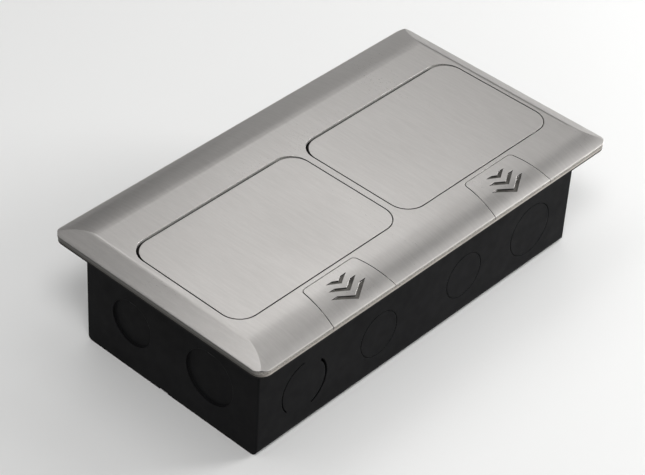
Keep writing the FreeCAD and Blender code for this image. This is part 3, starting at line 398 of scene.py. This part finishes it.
# ---------------------------------------------------------------- lids
# Each lid is a 2 mm plate of the same nickel-plated metal, brushed after its edges were rounded
# and screwed to the cradle from below. Its edges stay dark up to the top.
lid_metal = brushed_nickel("brushed_nickel_lid", "#c8c5c2", "#d0cdca", roughness=0.33,
                           wall_dark="#2b2a29", wall_pale="#4c4b48")
cover_with(lid_metal, "left_lid", "right_lid")


# ---------------------------------------------------------------- cradles
# The cradles that carry the modules, and the covers behind them, are moulded in glass-filled
# nylon. It is black and nearly matt, with a fine spark-eroded texture on every face.
def moulded(name, dark, pale, roughness, pit_size, depth, edge, specular):
    """A moulded plastic: two cloudy tones, and pits that also move the roughness."""
    material, tree, shader = new_finish(name, pale, 0.0, roughness, IOR=1.53,
                                        Specular_IOR_Level=specular)
    grain = grain_on(tree)
    pits = grain(pit_size, pit_size, pit_size, 3.0)
    skin(tree, shader, pits, depth, edge)
    tone = mottle(tree, grain(14, 14, 14, 3.0), dark, pale)
    tree.links.new(tone, shader.inputs["Base Color"])
    roughen(tree, shader, pits, roughness - 0.05, roughness + 0.05)
    return material


black_nylon = moulded("black_moulded_nylon", "#101010", "#181818", roughness=0.55,
                      pit_size=0.4, depth=0.05, edge=0.25, specular=0.35)
for side in ("left_", "right_"):
    cover_with(black_nylon, side + "cradle", side + "terminal_cover")


# ---------------------------------------------------------------- outlet modules
# Each module snaps into the face of its cradle. It is moulded in flame-proof polycarbonate, pale
# grey and satin, with soft corners.
outlet_plastic = moulded("pale_grey_polycarbonate", "#b7b6b2", "#c5c4c0", roughness=0.38,
                         pit_size=0.5, depth=0.02, edge=0.4, specular=0.5)
cover_with(outlet_plastic, "left_outlet_1", "left_outlet_2", "right_outlet",
           "right_data_outlet")

# The jacks are of a harder black plastic, moulded smooth, and shine a little more.
jack_plastic = moulded("black_jack_plastic", "#0d0d0f", "#151517", roughness=0.3,
                       pit_size=0.5, depth=0.01, edge=0.15, specular=0.5)
cover_with(jack_plastic, "right_data_jacks")


# ---------------------------------------------------------------- terminals
# Brass blocks at the back of each module, sawn from bar and drilled for the wires. The saw leaves
# fine straight lines on a yellow that is brighter than the stud's.
sawn_brass = metal("sawn_brass", "#a98545", "#cba75f", roughness=0.32,
                   grain_size=(0.3, 3, 3), depth=0.02, edge=0.15)
cover_with(sawn_brass, "left_terminals", "right_terminals")


# ---------------------------------------------------------------- slide buttons
# Each button slides in a gap in the cover's front shoulder and draws back the latch. It is cast
# in zinc, then plated and brushed as the cover is, so that the two match when it is shut.
button_metal = brushed_nickel("brushed_nickel_button", "#c6c3c0", "#cecbc8", roughness=0.32,
                              wall_dark="#2b2a29", wall_pale="#4c4b48")
cover_with(button_metal, "left_button", "right_button")


# ---------------------------------------------------------------- chevrons on the buttons
# Three chevrons are cut into each button's shoulder, tips outwards. Each piece here is a dark,
# rough floor laid on the CAD recess: its grey is partly that of the cut metal and partly painted
# shade in the recess.
def start_mesh(name, kind, stretch=(1, 1, 1), **settings):
    """Adds one of Blender's meshes to shape further, stretched, with nothing else selected."""
    bpy.ops.object.select_all(action="DESELECT")
    getattr(bpy.ops.mesh, "primitive_" + kind + "_add")(**settings)
    piece = bpy.context.active_object
    piece.name = piece.data.name = name
    piece.scale = stretch
    bpy.ops.object.transform_apply(location=True, rotation=True, scale=True)
    return piece


def pick(piece, kind, chosen):
    """In edit mode, selects the faces or vertices whose place and normal pass a test."""
    bpy.ops.object.mode_set(mode="EDIT")
    bpy.ops.mesh.select_mode(type=kind)
    bpy.ops.mesh.select_all(action="DESELECT")
    bpy.ops.object.mode_set(mode="OBJECT")
    if kind == "FACE":
        for face in piece.data.polygons:
            face.select = chosen(face.center, face.normal)
    else:
        for vertex in piece.data.vertices:
            vertex.select = chosen(vertex.co, vertex.normal)
    bpy.ops.object.mode_set(mode="EDIT")


def modify(piece, kind, **settings):
    """Adds a modifier and applies it."""
    modifier = piece.modifiers.new(kind.lower(), kind)
    for key, value in settings.items():
        setattr(modifier, key, value)
    bpy.ops.object.select_all(action="DESELECT")
    bpy.context.view_layer.objects.active = piece
    bpy.ops.object.modifier_apply(modifier=modifier.name)


def merge(pieces, name):
    """Joins pieces into one object."""
    bpy.ops.object.select_all(action="DESELECT")
    for piece in pieces:
        piece.select_set(True)
    bpy.context.view_layer.objects.active = pieces[0]
    bpy.ops.object.join()
    pieces[0].name = pieces[0].data.name = name
    return pieces[0]


def copied(piece, name, shift=(0, 0, 0), turn=(0, 0, 0)):
    """A copy with its own mesh, turned about the origin and then moved, with both applied."""
    twin = piece.copy()
    twin.data = piece.data.copy()
    twin.name = twin.data.name = name
    bpy.context.scene.collection.objects.link(twin)
    twin.rotation_euler = turn
    twin.location = shift
    bpy.ops.object.select_all(action="DESELECT")
    twin.select_set(True)
    bpy.context.view_layer.objects.active = twin
    bpy.ops.object.transform_apply(location=True, rotation=True, scale=True)
    return twin


same_place = 0.002 * mm         # vertices closer than this are one


def seat(piece, body, material, smooth=30):
    """Cleans a finished mesh, gives it its material, and ties it to its body."""
    bpy.ops.object.select_all(action="DESELECT")
    piece.select_set(True)
    bpy.context.view_layer.objects.active = piece
    bpy.ops.object.mode_set(mode="EDIT")
    bpy.ops.mesh.select_all(action="SELECT")
    bpy.ops.mesh.remove_doubles(threshold=same_place)
    bpy.ops.mesh.delete_loose()
    bpy.ops.mesh.select_all(action="SELECT")
    bpy.ops.mesh.normals_make_consistent(inside=False)
    bpy.ops.object.mode_set(mode="OBJECT")
    bpy.ops.object.shade_smooth_by_angle(angle=math.radians(smooth))
    piece.data.materials.clear()
    piece.data.materials.append(material)
    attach(piece, body)


# The floor of the cut: dark grey with rough pits, partly its own grey, partly painted shade.
cut_floor_and_painted_shade = metal("cut_nickel_and_painted_shade", "#4b4946", "#86837e", roughness=0.5,
                 grain_size=(0.5, 0.5, 0.5), depth=0.05, edge=0.05)

lid_offset = 54.9               # each lid, cradle and button is centred this far from the middle
chevrons = ((6.4, -48.0), (8.75, -51.85), (11.1, -55.7))    # half width, and y of the tip
open_end = 3.7                  # length of a chevron's open end, along X
arm_fall = 0.57                 # an arm falls back by this much for each mm outwards
arm_slope = math.atan(arm_fall)
arm_width = 1.74                # across an arm, a little less than the recess
overlong = 1.6                  # an arm is made this much too long, and then cut at the middle
tip_gap = 0.2                   # the floor stops this short of the recess's tip
over_button = 70                # height from which an arm is laid down on the button
floor_lift = 0.03
floor_thickness = 0.12
for side, body, middle in (("left", "left_slider", -lid_offset),
                           ("right", "right_slider", lid_offset)):
    arms = []
    for half, tip in chevrons:
        centre = half - open_end / 2    # where the arm's middle line meets the open end
        reach = half / math.cos(arm_slope)
        along = centre - reach / 2 * math.cos(arm_slope)
        arm = start_mesh("arm", "grid", stretch=(reach * overlong, arm_width, 1),
                         x_subdivisions=48, y_subdivisions=8, size=mm,
                         rotation=(0, 0, arm_slope),
                         location=(along * mm, (tip - (centre - along) * arm_fall) * mm,
                                   over_button * mm))
        pick(arm, "FACE", lambda place, normal: True)
        bpy.ops.mesh.bisect(plane_co=(0, 0, 0), plane_no=(1, 0, 0), clear_inner=True)
        pick(arm, "FACE", lambda place, normal: True)
        bpy.ops.mesh.bisect(plane_co=(0, (tip - tip_gap) * mm, 0), plane_no=(0, 1, 0),
                            clear_outer=True)
        bpy.ops.object.mode_set(mode="OBJECT")
        modify(arm, "MIRROR", merge_threshold=same_place)
        arms.append(copied(arm, "arm", (middle * mm, 0, 0)))
        bpy.data.objects.remove(arm)
    floors = merge(arms, side + "_button_chevrons")
    modify(floors, "SHRINKWRAP", target=bpy.data.objects[side + "_button"],
           wrap_method="PROJECT", use_project_z=True, use_positive_direction=False,
           use_negative_direction=True, offset=floor_lift * mm)
    modify(floors, "SOLIDIFY", thickness=floor_thickness * mm, offset=0)
    seat(floors, body, cut_floor_and_painted_shade, smooth=60)


# ---------------------------------------------------------------- seals under the lids
# A thin strip of foam rubber is glued on the ledge round the front and sides of each opening. It
# keeps dust and mop water out of the box when the lid is down.
def extend(*way):
    """Extrudes the chosen face by a distance in mm."""
    bpy.ops.mesh.extrude_region_move(
        TRANSFORM_OT_translate={"value": [distance * mm for distance in way]})


seal_width, seal_thickness = 1.0, 0.2
seal_side, seal_end, seal_height = 52.3, 14.0, 65.57    # x of its sides, y of its ends, and z
corner_x, corner_y = 42.3, -30.0                        # centres of its two front corners
quarter_turn = math.pi / 2
strip = start_mesh("strip", "plane", stretch=(seal_width, seal_thickness, 1), size=mm,
                   rotation=(quarter_turn, 0, 0),
                   location=(seal_side * mm, seal_end * mm, seal_height * mm))
pick(strip, "FACE", lambda place, normal: True)
extend(0, corner_y - seal_end, 0)
bpy.ops.mesh.spin(steps=8, angle=quarter_turn, axis=(0, 0, 1),
                  center=(corner_x * mm, corner_y * mm, 0))
extend(-2 * corner_x, 0, 0)
bpy.ops.mesh.spin(steps=8, angle=quarter_turn, axis=(0, 0, 1),
                  center=(-corner_x * mm, corner_y * mm, 0))
extend(0, seal_end - corner_y, 0)
bpy.ops.mesh.select_all(action="SELECT")
bpy.ops.mesh.remove_doubles(threshold=same_place)
bpy.ops.mesh.select_all(action="DESELECT")
bpy.ops.mesh.select_interior_faces()
bpy.ops.mesh.delete(type="FACE")
bpy.ops.object.mode_set(mode="OBJECT")
modify(strip, "BEVEL", width=0.07 * mm, segments=2)
for side, middle in (("left", -lid_offset), ("right", lid_offset)):
    seat(copied(strip, side + "_lid_seal", (middle * mm, 0, 0)), "root", foam)
bpy.data.objects.remove(strip)


# ---------------------------------------------------------------- shutters in the outlets
# A spring shutter closes each blade slot behind the face of the module, so that nothing but a
# plug opens it. Each is a wedge of the module's plastic whose ramp the blade pushes aside.
face_y, face_z = -29.363, 41.87     # middle of the socket faces, which lean back
face_lean = math.radians(115)
module_offset = 19.0            # each of the two modules is this far from the lid's middle
blade_slots = (                 # across and up from the module's middle, length, and turn
    (-6.35, 8.78, 6.8, 0), (6.35, 8.78, 6.8, 0),
    (-6.9, -4.0, 7.0, -30), (6.9, -4.0, 7.0, 30), (0, -11.98, 8.0, 0))
wedge_width, wedge_depth = 1.84, 2.4
wedge_gap = 0.08                # between a wedge and the two ends of its slot
wedge_middle = -3.2             # how far it lies behind the face
ramp_drop = 0.9
shutters = []
for across, up, length, turn in blade_slots:
    wedge = start_mesh("wedge", "cube", stretch=(wedge_width, length - wedge_gap, wedge_depth),
                       size=mm, location=(0, 0, wedge_middle * mm))
    pick(wedge, "FACE", lambda place, normal: normal.z > 0.9)
    bpy.ops.mesh.inset(thickness=0.3 * mm, depth=0.25 * mm)
    bpy.ops.object.mode_set(mode="OBJECT")
    pick(wedge, "VERT", lambda place, normal: place.z > -1.9 * mm and place.y < 0)
    bpy.ops.transform.translate(value=(0, 0, -ramp_drop * mm))
    bpy.ops.object.mode_set(mode="OBJECT")
    modify(wedge, "BEVEL", width=0.12 * mm, segments=2)
    shutters.append(copied(wedge, "wedge", (across * mm, up * mm, 0),
                           (0, 0, math.radians(turn))))
    bpy.data.objects.remove(wedge)
shutters = merge(shutters, "shutters")
for name, body, middle in (("left_outlet_1", "left_cradle_body", -lid_offset - module_offset),
                           ("left_outlet_2", "left_cradle_body", -lid_offset + module_offset),
                           ("right_outlet", "right_cradle_body", lid_offset - module_offset)):
    placed = copied(shutters, name + "_shutters", (middle * mm, face_y * mm, face_z * mm),
                    (face_lean, 0, 0))
    seat(placed, body, outlet_plastic)
bpy.data.objects.remove(shutters)


# ---------------------------------------------------------------- contacts in the data ports
# Eight sprung wires of gold-plated bronze lie side by side in each port. Each leaves the back of
# the port level and then slopes down to its floor, where a plug presses on it.
port_offset = 8.6               # each port, from the module's middle
wires, wire_pitch, wire_size = 8, 1.02, 0.36
wire_up, wire_back = -3.9, -11.9    # where a wire starts, from the middle of the face
wire_path = ((0, 0, 1.6), (0, -0.3, 0.6), (0, -1.7, 4.6), (0, -0.4, 0.8), (0, -0.02, 0.5))
first_wire = -port_offset - (wires - 1) / 2 * wire_pitch
wire = start_mesh("wire", "plane", stretch=(wire_size, wire_size, 1), size=mm,
                  location=(first_wire * mm, wire_up * mm, wire_back * mm))
pick(wire, "FACE", lambda place, normal: True)
for step in wire_path:
    extend(*step)
bpy.ops.object.mode_set(mode="OBJECT")
modify(wire, "BEVEL", width=0.06 * mm, segments=2)
modify(wire, "ARRAY", count=wires, use_relative_offset=False, use_constant_offset=True,
       constant_offset_displace=(wire_pitch * mm, 0, 0))
contacts = merge([wire, copied(wire, "wire", (2 * port_offset * mm, 0, 0))], "contacts")

# Gold plate is thin and even: a smooth, bright yellow.
gold_plate = metal("gold_plated_bronze", "#b98f45", "#dbb766", roughness=0.22,
                   grain_size=(0.4, 0.4, 0.4), depth=0.004, edge=0.04)
placed = copied(contacts, "right_data_contacts",
                ((lid_offset + module_offset) * mm, face_y * mm, face_z * mm),
                (face_lean, 0, 0))
seat(placed, "right_cradle_body", gold_plate)
bpy.data.objects.remove(contacts)


# ---------------------------------------------------------------- cross recesses of the screws
# The four screws that hold the frame to the box have a cross recess punched in their pan heads.
# It is set in the round hollow of each head, tapers downwards, and has slightly rolled edges.
socket_top, socket_radius, socket_depth = 63.93, 1.56, 1.14
cross_length, cross_width, cross_height = 2.5, 0.78, 1.4
cross_drop = 0.25               # middle of the punch, below the top of the socket
cross_taper = 0.6
screw_x, screw_y = (-102.05, 102.05), (-32, 2)
socket = start_mesh("socket", "cylinder", vertices=32, radius=socket_radius * mm,
                    depth=socket_depth * mm,
                    location=(0, 0, (socket_top - socket_depth / 2) * mm))
for turn in (0, quarter_turn):
    punch = start_mesh("punch", "cube", stretch=(cross_length, cross_width, cross_height),
                       size=mm, location=(0, 0, (socket_top - cross_drop) * mm),
                       rotation=(0, 0, turn))
    pick(punch, "FACE", lambda place, normal: normal.z < -0.9)
    bpy.ops.transform.resize(value=(cross_taper, cross_taper, 1))
    bpy.ops.object.mode_set(mode="OBJECT")
    modify(socket, "BOOLEAN", object=punch, operation="DIFFERENCE", solver="EXACT")
    bpy.data.objects.remove(punch)
modify(socket, "BEVEL", width=0.05 * mm, segments=2, angle_limit=math.radians(40))
sockets = merge([copied(socket, "socket", (x * mm, y * mm, 0)) for x in screw_x
                 for y in screw_y], "panel_screw_recesses")
seat(sockets, "root", zinc_plate)
bpy.data.objects.remove(socket)


# ---------------------------------------------------------------- springs and latches that give
# Each button's two return springs, of wire, close up as it slides out. The nose of its latch, of
# strip, gives way to the cradle's front as the lid comes up. Both are copies of their CAD nodes,
# which are hidden.
for side in ("left", "right"):
    # The anchor is the y of the end that stays, and keep is the share of its length that is left.
    for part, body, joint, anchor, keep in (
            ("button_springs", "root", "button_slide", -57.0, 0.42),
            ("latch", side + "_slider", "lid_hinge", -44.0, 0.52)):
        node = bpy.data.objects[side + "_" + part]
        giving = bpy.data.objects.new(node.name + "_giving", node.data.copy())
        bpy.context.scene.collection.objects.link(giving)
        seat(giving, body, spring_wire)
        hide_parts(node.name)
        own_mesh(giving)
